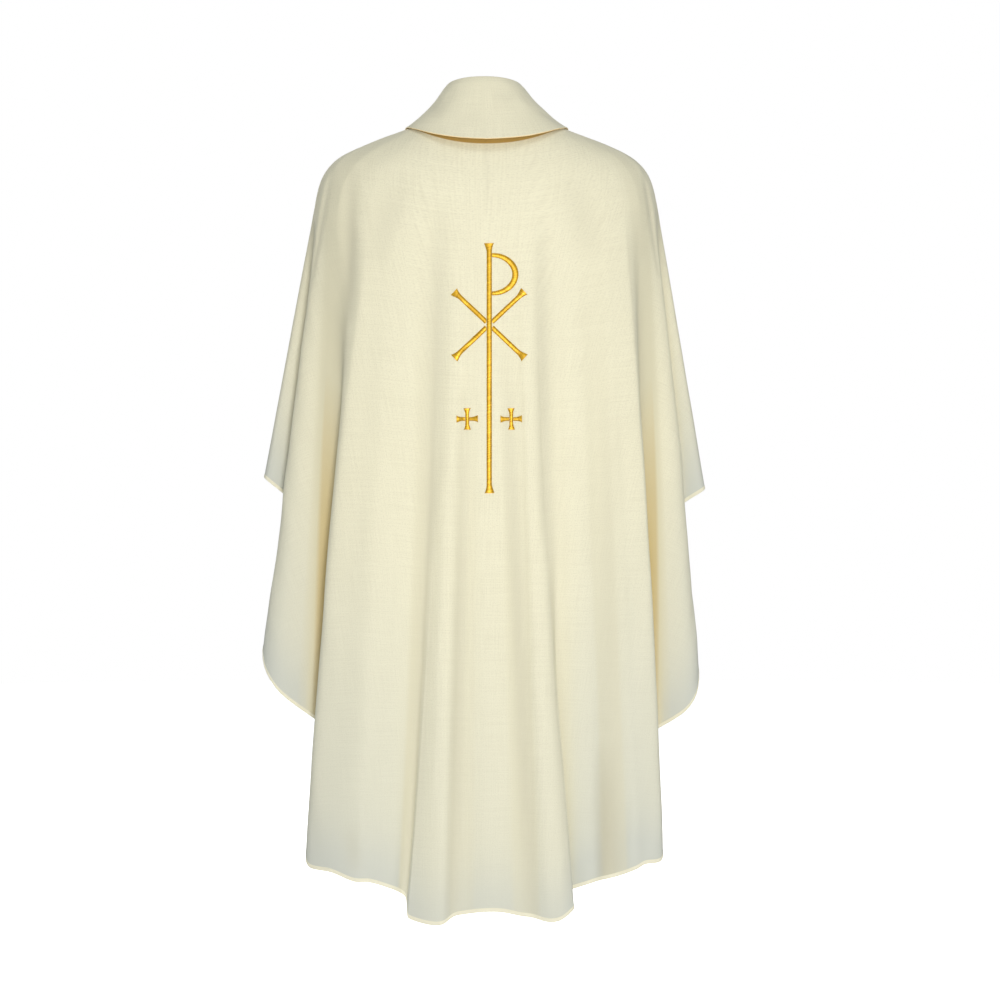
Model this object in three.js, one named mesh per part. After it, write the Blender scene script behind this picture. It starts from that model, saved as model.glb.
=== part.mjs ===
// A chasuble in its worn, hollow form: back and front panels, a rolled collar and a gold emblem.
// Millimetres, +Z up. The origin is the middle of the neck base, where shoulders carry the cloth.
// The back of the garment faces -Y, and +X is on the right of someone who looks at the back.

import * as THREE from 'three';

// Driving sizes
const CLOTH = 2; // thickness of a panel's wall
const COLLAR_CLOTH = 2.4; // thickness of the collar's wall
const SEAM_GAP = 0.3; // clearance between two pieces at a seam
const BOXINESS = 2.3; // 2 gives elliptical sections, more gives squarer ones
const CREST_TAPER = 0.5; // a crest's breadth at the shoulders, as a share of its breadth at the hem
const COLUMNS_PER_LINE = 2; // facets across a crest, and from one crest to the next
const COLLAR_COLUMNS = 48; // facets round the collar
const DROPS = [0.1, 0.2, 0.32, 0.45, 0.58, 0.7, 0.81, 0.91, 1]; // rows from shoulder to hem

// Sections over the shoulders, from the neckline down to where the cloth hangs free
const SHOULDER_SECTIONS = [
  { name: 'neckline', sideX: 76, sideZ: 24, backY: -68, backZ: 30, frontY: 84, frontZ: -30 },
  { name: 'neck base', sideX: 134, sideZ: -1, backY: -97, backZ: -6, frontY: 112, frontZ: -72 },
  { name: 'mid shoulder', sideX: 195, sideZ: -24, backY: -122, backZ: -48, frontY: 130, frontZ: -112 },
  { name: 'outer shoulder', sideX: 245, sideZ: -49, backY: -139, backZ: -90, frontY: 142, frontZ: -146 },
  { name: 'shoulder tip', sideX: 268, sideZ: -76, backY: -148, backZ: -124, frontY: 147, frontZ: -174 },
  { name: 'release', sideX: 281, sideZ: -122, backY: -155, backZ: -166, frontY: 151, frontZ: -208 },
];
const NECKLINE = SHOULDER_SECTIONS[0];
const RELEASE = SHOULDER_SECTIONS[SHOULDER_SECTIONS.length - 1];

// Fold lines of the back, from the left side seam to the right one. The angle is measured from the
// centre back at the shoulders. x, y and z are where the line meets the hem, bow is how far it
// swings to the right halfway down, and breadth is how wide the fold's rounded crest is at the hem.
const BACK_FOLDS = [
  { name: 'left side', angle: -90, x: -363, y: 4, z: -573, bow: 0, breadth: 26 },
  { name: 'left under valley', angle: -82, x: -300, y: -20, z: -660, bow: 0, breadth: 24 },
  { name: 'left side ridge', angle: -72, x: -352, y: -62, z: -884, bow: 1, breadth: 30 },
  { name: 'left deep valley', angle: -55.5, x: -238, y: -86, z: -1012, bow: 2, breadth: 26 },
  { name: 'left panel edge', angle: -38.5, x: -285, y: -133, z: -1178, bow: -10, breadth: 22 },
  { name: 'left panel swell', angle: -31, x: -226, y: -174, z: -1207, bow: 0, breadth: 40 },
  { name: 'left panel flat', angle: -23, x: -166, y: -180, z: -1220, bow: 0, breadth: 36 },
  { name: 'left lobe valley', angle: -14, x: -130, y: -170, z: -1237, bow: 8, breadth: 6 },
  { name: 'left lobe edge', angle: -10.5, x: -122, y: -182, z: -1271, bow: 9, breadth: 4 },
  { name: 'left lobe ridge', angle: -6, x: -76, y: -199, z: -1279, bow: 0, breadth: 18 },
  { name: 'left lobe dip', angle: -3, x: -40, y: -191, z: -1265, bow: 0, breadth: 14 },
  { name: 'centre', angle: 0.8, x: 14, y: -197, z: -1259, bow: -5, breadth: 24 },
  { name: 'right lobe dip', angle: 6.6, x: 66, y: -190, z: -1268, bow: 0, breadth: 18 },
  { name: 'right lobe ridge', angle: 10, x: 110, y: -201, z: -1273, bow: -6, breadth: 16 },
  { name: 'right lobe edge', angle: 13.4, x: 138, y: -191, z: -1256, bow: -9, breadth: 6 },
  { name: 'right lobe valley', angle: 20, x: 128, y: -172, z: -1232, bow: -6, breadth: 8 },
  { name: 'right panel swell', angle: 25, x: 170, y: -176, z: -1216, bow: 0, breadth: 14 },
  { name: 'right panel dip', angle: 33, x: 207, y: -166, z: -1208, bow: 0, breadth: 18 },
  { name: 'right panel ridge', angle: 41, x: 246, y: -166, z: -1192, bow: 0, breadth: 14 },
  { name: 'right panel edge', angle: 50, x: 278, y: -145, z: -1168, bow: 9, breadth: 20 },
  { name: 'right deep valley', angle: 60, x: 242, y: -82, z: -1021, bow: 7, breadth: 26 },
  { name: 'right side ridge', angle: 74, x: 339, y: -62, z: -918, bow: 4, breadth: 24 },
  { name: 'right under valley', angle: 83, x: 298, y: -20, z: -668, bow: 0, breadth: 24 },
  { name: 'right side', angle: 90, x: 358, y: 4, z: -592, bow: 0, breadth: 26 },
];

// Fold lines of the front, from the right side seam round to the left one
const FRONT_FOLDS = [
  { name: 'front right under valley', angle: 98, x: 295, y: 38, z: -656, bow: 0, breadth: 24 },
  { name: 'front right side ridge', angle: 108, x: 326, y: 82, z: -842, bow: 0, breadth: 30 },
  { name: 'front right deep valley', angle: 119, x: 242, y: 104, z: -985, bow: 0, breadth: 26 },
  { name: 'front right panel edge', angle: 131, x: 273, y: 144, z: -1124, bow: 0, breadth: 30 },
  { name: 'front right dip', angle: 142, x: 208, y: 158, z: -1158, bow: 0, breadth: 26 },
  { name: 'front right swell', angle: 152, x: 150, y: 180, z: -1180, bow: 0, breadth: 34 },
  { name: 'front right valley', angle: 163, x: 97, y: 160, z: -1196, bow: 0, breadth: 22 },
  { name: 'front right ridge', angle: 171, x: 52, y: 188, z: -1212, bow: 0, breadth: 28 },
  { name: 'centre front', angle: 180, x: -4, y: 172, z: -1208, bow: 0, breadth: 24 },
  { name: 'front left ridge', angle: 188, x: -58, y: 187, z: -1214, bow: 0, breadth: 28 },
  { name: 'front left valley', angle: 196, x: -106, y: 159, z: -1198, bow: 0, breadth: 22 },
  { name: 'front left swell', angle: 207, x: -160, y: 177, z: -1179, bow: 0, breadth: 34 },
  { name: 'front left dip', angle: 218, x: -216, y: 157, z: -1157, bow: 0, breadth: 26 },
  { name: 'front left panel edge', angle: 229, x: -280, y: 143, z: -1126, bow: 0, breadth: 30 },
  { name: 'front left deep valley', angle: 241, x: -248, y: 104, z: -988, bow: 0, breadth: 26 },
  { name: 'front left side ridge', angle: 252, x: -332, y: 82, z: -846, bow: 0, breadth: 30 },
  { name: 'front left under valley', angle: 262, x: -300, y: 38, z: -646, bow: 0, breadth: 24 },
];
const FOLDS = [...BACK_FOLDS, ...FRONT_FOLDS];

// Sections of the collar, up the inside, over the roll and down the outside to its free edge
const FOOT_INSET = CLOTH / 2 + COLLAR_CLOTH / 2 + SEAM_GAP;
const FOOT_OVERLAP = 4; // how far the collar's foot reaches below the neckline
const COLLAR_SECTIONS = [
  {
    name: 'foot', lean: 0,
    sideX: NECKLINE.sideX - FOOT_INSET, sideZ: NECKLINE.sideZ - FOOT_OVERLAP,
    backY: NECKLINE.backY + FOOT_INSET, backZ: NECKLINE.backZ - FOOT_OVERLAP,
    frontY: NECKLINE.frontY - FOOT_INSET, frontZ: NECKLINE.frontZ - FOOT_OVERLAP,
  },
  { name: 'inside', lean: -1, sideX: 63, sideZ: 46, backY: -61, backZ: 54, frontY: 80, frontZ: -4 },
  { name: 'roll inside', lean: -3, sideX: 54, sideZ: 68, backY: -56, backZ: 73, frontY: 80, frontZ: 14 },
  { name: 'roll top', lean: -3, sideX: 58, sideZ: 75, backY: -62, backZ: 80, frontY: 86, frontZ: 20 },
  { name: 'roll outside', lean: -3, sideX: 65, sideZ: 69, backY: -69, backZ: 74, frontY: 92, frontZ: 15 },
  { name: 'upper fall', lean: -2, sideX: 85, sideZ: 44, backY: -87, backZ: 46, frontY: 104, frontZ: -14 },
  { name: 'lower fall', lean: 0, sideX: 109, sideZ: 22, backY: -107, backZ: 10, frontY: 116, frontZ: -46 },
  { name: 'free edge', lean: 1, sideX: 136, sideZ: 3.2, backY: -131, backZ: -30, frontY: 128, frontZ: -84 },
];

// The emblem is worked in raised satin columns, placed across and up from where its arms cross
const CROSSING = { x: 6, z: -330 };
const EMBLEM_CLEARANCE = 1; // from the cloth to a column's underside
const EMBLEM_HEIGHT = 1.6; // of a column's crown above its underside
const SHOULDER_SHARE = 0.4; // where a column's top starts to round off, as a share of its width
const SHOULDER_HEIGHT = 1; // of a column there
const STAFF = { width: 8.4, top: 130, bottom: -268 };
const ARM = { width: 7.6, x: 56, z: 53 };
const BOWL = { width: 6.4, swell: 3.6, reach: 37, top: 111, bottom: 50 };
const CROSSLET = { width: 6, reach: 17, x: 35, z: -150 };
const LARGE_FLARE = { length: 15, growth: 8 }; // how a column widens towards a free end
const SMALL_FLARE = { length: 10, growth: 6 };
const FLARE_STOPS = [0, 0.25, 0.55]; // as shares of a flare's length, from the free end
const STOP_SPACING = 11; // along a column

const radians = (degrees) => THREE.MathUtils.degToRad(degrees);

// A point of an oval section: the angle runs from the centre back round the right side
function sectionPoint(section, angle) {
  const across = Math.sin(radians(angle));
  const along = Math.cos(radians(angle));
  const power = 2 / BOXINESS;
  const depth = along > 0 ? section.backY : section.frontY;
  const middleZ = along > 0 ? section.backZ : section.frontZ;
  return new THREE.Vector3(
    (section.lean ?? 0) + section.sideX * Math.sign(across) * Math.abs(across) ** power,
    depth * Math.abs(along) ** power,
    section.sideZ * across ** 2 + middleZ * along ** 2,
  );
}

// Each fold's crest is two lines, half its breadth to either side of where the fold meets the hem
function crestLines(fold, index) {
  const previous = FOLDS[(index + FOLDS.length - 1) % FOLDS.length];
  const next = FOLDS[(index + 1) % FOLDS.length];
  const chord = Math.hypot(next.x - previous.x, next.y - previous.y);
  const path = Math.hypot(fold.x - previous.x, fold.y - previous.y)
    + Math.hypot(next.x - fold.x, next.y - fold.y);
  const turn = THREE.MathUtils.radToDeg((CREST_TAPER * fold.breadth) / 2 / RELEASE.sideX);
  return [-1, 1].map((side) => ({
    angle: fold.angle + side * turn,
    bow: fold.bow,
    hem: new THREE.Vector3(
      fold.x + (side * fold.breadth / 2) * (next.x - previous.x) / chord,
      fold.y + (side * fold.breadth / 2) * (next.y - previous.y) / chord,
      fold.z + (side * fold.breadth / 2) * (next.z - previous.z) / path,
    ),
  }));
}

// A point of a line between the shoulders, where drop is 0, and the hem, where it is 1
function linePoint(line, drop) {
  const point = sectionPoint(RELEASE, line.angle).lerp(line.hem, drop);
  point.x += line.bow * 4 * drop * (1 - drop);
  return point;
}

// The cloth's middle surface as rings of points, one for each section or drop
function clothRings() {
  const lines = FOLDS.flatMap(crestLines);
  const controls = [
    ...SHOULDER_SECTIONS.map((section) => lines.map((line) => sectionPoint(section, line.angle))),
    ...DROPS.map((drop) => lines.map((line) => linePoint(line, drop))),
  ];
  const columns = lines.length * COLUMNS_PER_LINE;
  return controls.map((points) => {
    const ring = new THREE.CatmullRomCurve3(points, true, 'centripetal');
    return Array.from({ length: columns }, (_, column) => ring.getPoint(column / columns));
  });
}

// Unit tangents round each ring and unit normals of the surface, pointing away from its hollow
function surfaceFrames(rings) {
  const count = rings[0].length;
  return rings.map((ring, row) => ring.map((_, column) => {
    const next = ring[(column + 1) % count];
    const previous = ring[(column + count - 1) % count];
    const above = rings[Math.max(row - 1, 0)][column];
    const below = rings[Math.min(row + 1, rings.length - 1)][column];
    const tangent = next.clone().sub(previous).normalize();
    const down = below.clone().sub(above);
    return { tangent, normal: down.cross(tangent).normalize() };
  }));
}

// Joins an outer and an inner grid of points into one closed wall. A closed wall has its last
// column next to its first, and an open one is shut by strips along its first and last columns.
function wallGeometry(outer, inner, closed) {
  const rows = outer.length;
  const columns = outer[0].length;
  const positions = [...outer.flat(), ...inner.flat()].flatMap((point) => point.toArray());
  const out = (row, column) => row * columns + (column % columns);
  const into = (row, column) => rows * columns + out(row, column);
  const faces = [];
  const quad = (a, b, c, d) => faces.push(a, b, c, a, c, d);
  const spans = closed ? columns : columns - 1;
  for (let row = 0; row < rows - 1; row += 1) {
    for (let column = 0; column < spans; column += 1) {
      quad(out(row, column), out(row + 1, column), out(row + 1, column + 1), out(row, column + 1));
      quad(into(row, column), into(row, column + 1), into(row + 1, column + 1), into(row + 1, column));
    }
  }
  for (let column = 0; column < spans; column += 1) {
    const last = rows - 1;
    quad(out(0, column), out(0, column + 1), into(0, column + 1), into(0, column));
    quad(out(last, column), into(last, column), into(last, column + 1), out(last, column + 1));
  }
  if (!closed) {
    for (let row = 0; row < rows - 1; row += 1) {
      const last = columns - 1;
      quad(out(row, 0), into(row, 0), into(row + 1, 0), out(row + 1, 0));
      quad(out(row, last), out(row + 1, last), into(row + 1, last), into(row, last));
    }
  }
  const geometry = new THREE.BufferGeometry();
  geometry.setAttribute('position', new THREE.Float32BufferAttribute(positions, 3));
  geometry.setIndex(faces);
  geometry.computeVertexNormals();
  return geometry;
}

// One side of a panel's wall: the rings' points from the first to the last column, moved out
function panelFace(rings, frames, first, last, lift) {
  const count = rings[0].length;
  return rings.map((ring, row) => {
    const face = [];
    for (let column = first; column <= last; column += 1) {
      const { tangent, normal } = frames[row][column % count];
      const point = ring[column % count].clone().addScaledVector(normal, lift);
      if (column === first) {
        point.addScaledVector(tangent, SEAM_GAP / 2);
      }
      if (column === last) {
        point.addScaledVector(tangent, -SEAM_GAP / 2);
      }
      face.push(point);
    }
    return face;
  });
}

const rings = clothRings();
const frames = surfaceFrames(rings);

// A seam runs down the middle of each side fold's crest
const crestMiddle = COLUMNS_PER_LINE / 2;
const leftSeam = crestMiddle;
const rightSeam = (BACK_FOLDS.length - 1) * 2 * COLUMNS_PER_LINE + crestMiddle;
const leftSeamAgain = leftSeam + FOLDS.length * 2 * COLUMNS_PER_LINE;
const backFace = panelFace(rings, frames, leftSeam, rightSeam, CLOTH / 2);

function backPanel() {
  return wallGeometry(backFace, panelFace(rings, frames, leftSeam, rightSeam, -CLOTH / 2), false);
}

function frontPanel() {
  return wallGeometry(
    panelFace(rings, frames, rightSeam, leftSeamAgain, CLOTH / 2),
    panelFace(rings, frames, rightSeam, leftSeamAgain, -CLOTH / 2),
    false,
  );
}

// The collar's wall is a folded sheet, so its outward side faces the neck, the sky and the back
function collar() {
  const sheet = COLLAR_SECTIONS.map((section) => Array.from(
    { length: COLLAR_COLUMNS },
    (_, column) => sectionPoint(section, (column / COLLAR_COLUMNS) * 360),
  ));
  const sides = surfaceFrames(sheet);
  const shifted = (lift) => sheet.map((ring, row) => ring.map(
    (point, column) => point.clone().addScaledVector(sides[row][column].normal, lift),
  ));
  return wallGeometry(shifted(COLLAR_CLOTH / 2), shifted(-COLLAR_CLOTH / 2), true);
}

// The place on the back panel's outer face straight behind x and z, moved out by lift
function onBack(x, z, lift) {
  for (let row = 0; row < backFace.length - 1; row += 1) {
    for (let column = 0; column < backFace[row].length - 1; column += 1) {
      const [a, b, c, d] = [
        backFace[row][column], backFace[row + 1][column],
        backFace[row + 1][column + 1], backFace[row][column + 1],
      ];
      for (const [p, q, r] of [[a, b, c], [a, c, d]]) {
        const area = (q.x - p.x) * (r.z - p.z) - (q.z - p.z) * (r.x - p.x);
        const toQ = ((x - p.x) * (r.z - p.z) - (z - p.z) * (r.x - p.x)) / area;
        const toR = ((q.x - p.x) * (z - p.z) - (q.z - p.z) * (x - p.x)) / area;
        if (toQ >= 0 && toR >= 0 && toQ + toR <= 1) {
          const y = p.y + toQ * (q.y - p.y) + toR * (r.y - p.y);
          const normal = new THREE.Triangle(p, q, r).getNormal(new THREE.Vector3());
          return new THREE.Vector3(x, y, z).addScaledVector(normal, lift);
        }
      }
    }
  }
  throw new Error(`no cloth behind ${x}, ${z}`);
}

// Lofts a closed solid through sections that all have the same number of points. Seen along the
// loft, each section runs anticlockwise.
function loftGeometry(sections) {
  const sides = sections[0].length;
  const faces = [];
  for (let row = 0; row < sections.length - 1; row += 1) {
    for (let side = 0; side < sides; side += 1) {
      const here = row * sides + side;
      const beside = row * sides + ((side + 1) % sides);
      faces.push(here, here + sides, beside + sides, here, beside + sides, beside);
    }
  }
  const last = (sections.length - 1) * sides;
  for (let side = 1; side < sides - 1; side += 1) {
    faces.push(0, side, side + 1);
    faces.push(last, last + side + 1, last + side);
  }
  const geometry = new THREE.BufferGeometry();
  const positions = sections.flat().flatMap((point) => point.toArray());
  geometry.setAttribute('position', new THREE.Float32BufferAttribute(positions, 3));
  geometry.setIndex(faces);
  geometry.computeVertexNormals();
  return geometry;
}

// One satin column along a curve. Its ends widen by the flares given for them. A mitre gives the
// middle and the width of an upright starting edge, which lies against the staff.
function satinColumn(curve, widthAt, ends) {
  const length = curve.getLength();
  const from = ends.startFlare ? ends.startFlare.length : 0;
  const to = length - (ends.endFlare ? ends.endFlare.length : 0);
  const steps = Math.max(1, Math.round((to - from) / STOP_SPACING));
  const flareStops = (flare) => (flare ? FLARE_STOPS.map((share) => share * flare.length) : []);
  const stops = [
    ...flareStops(ends.startFlare),
    ...Array.from({ length: steps + 1 }, (_, step) => from + ((to - from) * step) / steps),
    ...flareStops(ends.endFlare).reverse().map((stop) => length - stop),
  ];
  const widening = (flare, distance) => (
    flare ? flare.growth * Math.max(0, 1 - distance / flare.length) ** 2 : 0
  );
  const sections = stops.map((stop, index) => {
    const centre = curve.getPointAt(stop / length);
    const heading = curve.getTangentAt(stop / length);
    const width = widthAt(stop / length)
      + widening(ends.startFlare, stop)
      + widening(ends.endFlare, length - stop);
    const toRight = new THREE.Vector2(heading.y, -heading.x).multiplyScalar(width);
    if (ends.mitre && index === 0) {
      centre.y = ends.mitre.middle;
      toRight.set(0, -Math.sign(heading.x) * ends.mitre.width);
    }
    const at = (share, lift) => onBack(
      CROSSING.x + centre.x + toRight.x * share,
      CROSSING.z + centre.y + toRight.y * share,
      EMBLEM_CLEARANCE + lift,
    );
    return [
      at(-0.5, 0), at(0.5, 0),
      at(SHOULDER_SHARE, SHOULDER_HEIGHT), at(0, EMBLEM_HEIGHT), at(-SHOULDER_SHARE, SHOULDER_HEIGHT),
    ];
  });
  return loftGeometry(sections);
}

function straightColumn(start, end, width, ends) {
  const curve = new THREE.LineCurve(new THREE.Vector2(...start), new THREE.Vector2(...end));
  return satinColumn(curve, () => width, ends);
}

// A quarter of the saltire, from the staff's edge to its flared end
function armColumn(sideX, sideZ) {
  const startX = STAFF.width / 2 + SEAM_GAP;
  const startZ = (startX * ARM.z) / ARM.x;
  const inner = SEAM_GAP / 2;
  const outer = startZ + (ARM.width / 2) * Math.hypot(1, ARM.z / ARM.x);
  return straightColumn(
    [sideX * startX, sideZ * startZ],
    [sideX * ARM.x, sideZ * ARM.z],
    ARM.width,
    { endFlare: LARGE_FLARE, mitre: { middle: (sideZ * (inner + outer)) / 2, width: outer - inner } },
  );
}

// The half round bowl at the head of the staff, broadest at its middle
function bowlColumn() {
  const middle = (BOWL.top + BOWL.bottom) / 2;
  const start = STAFF.width / 2 + SEAM_GAP;
  const curve = new THREE.EllipseCurve(
    start, middle, BOWL.reach, (BOWL.top - BOWL.bottom) / 2, Math.PI / 2, -Math.PI / 2, true,
  );
  return satinColumn(curve, (share) => BOWL.width + BOWL.swell * Math.sin(Math.PI * share), {});
}

const group = new THREE.Group();

const fabric = new THREE.MeshStandardMaterial({ color: 0xefe8cf, roughness: 0.85, metalness: 0 });
const goldThread = new THREE.MeshStandardMaterial({ color: 0xd9a521, roughness: 0.45, metalness: 0.2 });

function addPiece(name, geometry, material) {
  const piece = new THREE.Mesh(geometry, material);
  piece.name = name;
  group.add(piece);
}

addPiece('back_panel', backPanel(), fabric);
addPiece('front_panel', frontPanel(), fabric);
addPiece('collar', collar(), fabric);

const staffEnds = { startFlare: LARGE_FLARE, endFlare: LARGE_FLARE };
const staff = straightColumn([0, STAFF.bottom], [0, STAFF.top], STAFF.width, staffEnds);
addPiece('emblem_staff', staff, goldThread);
addPiece('emblem_bowl', bowlColumn(), goldThread);
const ARMS = [
  { name: 'upper_left', sideX: -1, sideZ: 1 },
  { name: 'upper_right', sideX: 1, sideZ: 1 },
  { name: 'lower_left', sideX: -1, sideZ: -1 },
  { name: 'lower_right', sideX: 1, sideZ: -1 },
];
for (const arm of ARMS) {
  addPiece(`emblem_arm_${arm.name}`, armColumn(arm.sideX, arm.sideZ), goldThread);
}

// Two small crosses flank the lower staff, each of one upright and two half bars
const uprightEnds = { startFlare: SMALL_FLARE, endFlare: SMALL_FLARE };
const barStart = CROSSLET.width / 2 + SEAM_GAP;
for (const [name, side] of [['left', -1], ['right', 1]]) {
  const x = side * CROSSLET.x;
  const { width, reach, z } = CROSSLET;
  const upright = straightColumn([x, z - reach], [x, z + reach], width, uprightEnds);
  addPiece(`crosslet_${name}_upright`, upright, goldThread);
  for (const [end, toward] of [['left', -1], ['right', 1]]) {
    const from = [x + toward * barStart, z];
    const bar = straightColumn(from, [x + toward * reach, z], width, { endFlare: SMALL_FLARE });
    addPiece(`crosslet_${name}_bar_${end}`, bar, goldThread);
  }
}

export default group;
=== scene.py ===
# A chasuble in its worn, hollow form: cream cloth in soft folds, narrow hems, a rolled collar and a
# gold satin-stitch emblem. Sizes are millimetres until a mesh is made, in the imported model's frame:
# +Z up, the origin in the middle of the neck base, and the garment's back facing -Y.

from collections import namedtuple

import bpy
import numpy as np
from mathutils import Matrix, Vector
from mathutils.bvhtree import BVHTree


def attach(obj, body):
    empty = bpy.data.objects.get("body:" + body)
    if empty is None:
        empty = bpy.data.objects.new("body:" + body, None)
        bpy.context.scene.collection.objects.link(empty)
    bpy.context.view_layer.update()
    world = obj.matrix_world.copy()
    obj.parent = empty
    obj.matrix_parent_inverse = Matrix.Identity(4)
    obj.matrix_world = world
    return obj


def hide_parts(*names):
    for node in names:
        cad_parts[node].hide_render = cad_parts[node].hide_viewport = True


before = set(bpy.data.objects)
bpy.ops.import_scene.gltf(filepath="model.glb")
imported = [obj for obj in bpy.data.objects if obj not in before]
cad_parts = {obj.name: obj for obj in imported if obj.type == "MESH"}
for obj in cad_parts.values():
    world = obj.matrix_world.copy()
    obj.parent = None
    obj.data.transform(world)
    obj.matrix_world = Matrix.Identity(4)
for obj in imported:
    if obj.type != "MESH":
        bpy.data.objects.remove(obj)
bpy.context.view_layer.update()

METRES = 0.001

# Cloth
CLOTH = 0.9  # thickness of the cloth
COLLAR_CLOTH = 1.5  # the collar is doubled
BOXINESS = 2.3  # 2 gives elliptical sections, more gives squarer ones
CREST_TAPER = 0.5  # a crest's breadth at the shoulders, as a share of its breadth at the hem
SEAM_GAP = 0.3  # between the two panels
HEM_DEPTH = 6.2
HEM_BULGE = 0.55  # how far the turned hem stands out on each side
HEM_SLOPE = 1.2  # over which it rises from the cloth
HEM_ROUND = 1.1
THIN_EDGE = 0.12  # a rounded edge's least thickness, as a share
DIMPLE_DEPTH = 0.3  # how far the stitches draw the hem in
DIMPLE_REACH = 0.7
STITCH_RISE = 5.1  # from the hem's edge up to its stitching
STITCH_LENGTH = 2.6
STITCH_SPACING = 3.3
STITCH_RADIUS = 0.22
STITCH_SIDES = 6
STITCH_SHARES = np.array([0.0, 0.12, 0.5, 0.88, 1.0])  # places along a stitch
STITCH_LIFTS = np.array([-0.15, 0.12, 0.2, 0.12, -0.15])  # how far out of the cloth it is there
STITCH_THICKNESS = np.array([0.05, 0.85, 1.0, 0.85, 0.05])  # and its thickness, as a share
STITCH_MARGIN = 4.0  # from a seam to the first stitch

# Oval sections of the shoulders: how far each leans to the right, where it passes the sides, and
# where it passes the middle of the back and of the front
Section = namedtuple("Section", "name lean side_x side_z back_y back_z front_y front_z")
SHOULDERS = [
    Section("neckline", 0, 76, 24, -68, 30, 84, -30),
    Section("neck base", 0, 134, -1, -97, -6, 112, -72),
    Section("mid shoulder", 0, 195, -24, -122, -48, 130, -112),
    Section("outer shoulder", 0, 245, -49, -139, -90, 142, -146),
    Section("shoulder tip", 0, 268, -76, -148, -124, 147, -174),
    Section("release", 0, 281, -122, -155, -166, 151, -208),
]
RELEASE = SHOULDERS[-1]
DROPS = [0.1, 0.2, 0.32, 0.45, 0.58, 0.7, 0.81, 0.91, 1]  # shares of the way down from there

# Crests and valleys, around from the left side: the angle at which each leaves the shoulders, the
# place where it meets the hem, how far its middle bows to the right, its breadth at the hem and
# the painted shade in its hollow, from 0 for open cloth to 1
Fold = namedtuple("Fold", "name angle x y z bow breadth shade")
BACK_FOLDS = [
    Fold("left side", -90, -363, 4, -573, 0, 26, 0),
    Fold("left under valley", -82, -300, -20, -660, 0, 24, 0.45),
    Fold("left side ridge", -72, -352, -62, -884, 1, 30, 0),
    Fold("left deep valley", -55.5, -238, -86, -1012, 2, 26, 1),
    Fold("left panel edge", -38.5, -285, -133, -1178, -10, 22, 0),
    Fold("left panel swell", -31, -226, -174, -1207, 0, 40, 0),
    Fold("left panel flat", -23, -166, -180, -1220, 0, 36, 0),
    Fold("left lobe valley", -14, -130, -170, -1237, 8, 6, 0.3),
    Fold("left lobe edge", -10.5, -122, -182, -1271, 9, 4, 0),
    Fold("left lobe ridge", -6, -76, -199, -1279, 0, 18, 0),
    Fold("left lobe dip", -3, -40, -191, -1265, 0, 14, 0.12),
    Fold("centre", 0.8, 14, -197, -1259, -5, 24, 0),
    Fold("right lobe dip", 6.6, 66, -190, -1268, 0, 18, 0.15),
    Fold("right lobe ridge", 10, 110, -201, -1273, -6, 16, 0),
    Fold("right lobe edge", 13.4, 138, -191, -1256, -9, 6, 0),
    Fold("right lobe valley", 20, 128, -172, -1232, -6, 8, 0.1),
    Fold("right panel swell", 25, 170, -176, -1216, 0, 14, 0),
    Fold("right panel dip", 33, 207, -166, -1208, 0, 18, 0.2),
    Fold("right panel ridge", 41, 246, -166, -1192, 0, 14, 0),
    Fold("right panel edge", 50, 278, -145, -1168, 9, 20, 0),
    Fold("right deep valley", 60, 242, -82, -1021, 7, 26, 1),
    Fold("right side ridge", 74, 339, -62, -918, 4, 24, 0),
    Fold("right under valley", 83, 298, -20, -668, 0, 24, 0.45),
    Fold("right side", 90, 358, 4, -592, 0, 26, 0),
]
FRONT_FOLDS = [
    Fold("front right under valley", 98, 295, 38, -656, 0, 24, 0.45),
    Fold("front right side ridge", 108, 326, 82, -842, 0, 30, 0),
    Fold("front right deep valley", 119, 242, 104, -985, 0, 26, 0.6),
    Fold("front right panel edge", 131, 273, 144, -1124, 0, 30, 0),
    Fold("front right dip", 142, 208, 158, -1158, 0, 26, 0.3),
    Fold("front right swell", 152, 150, 180, -1180, 0, 34, 0),
    Fold("front right valley", 163, 97, 160, -1196, 0, 22, 0.45),
    Fold("front right ridge", 171, 52, 188, -1212, 0, 28, 0),
    Fold("centre front", 180, -4, 172, -1208, 0, 24, 0.25),
    Fold("front left ridge", 188, -58, 187, -1214, 0, 28, 0),
    Fold("front left valley", 196, -106, 159, -1198, 0, 22, 0.45),
    Fold("front left swell", 207, -160, 177, -1179, 0, 34, 0),
    Fold("front left dip", 218, -216, 157, -1157, 0, 26, 0.3),
    Fold("front left panel edge", 229, -280, 143, -1126, 0, 30, 0),
    Fold("front left deep valley", 241, -248, 104, -988, 0, 26, 0.6),
    Fold("front left side ridge", 252, -332, 82, -846, 0, 30, 0),
    Fold("front left under valley", 262, -300, 38, -646, 0, 24, 0.45),
]
FOLDS = BACK_FOLDS + FRONT_FOLDS

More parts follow.
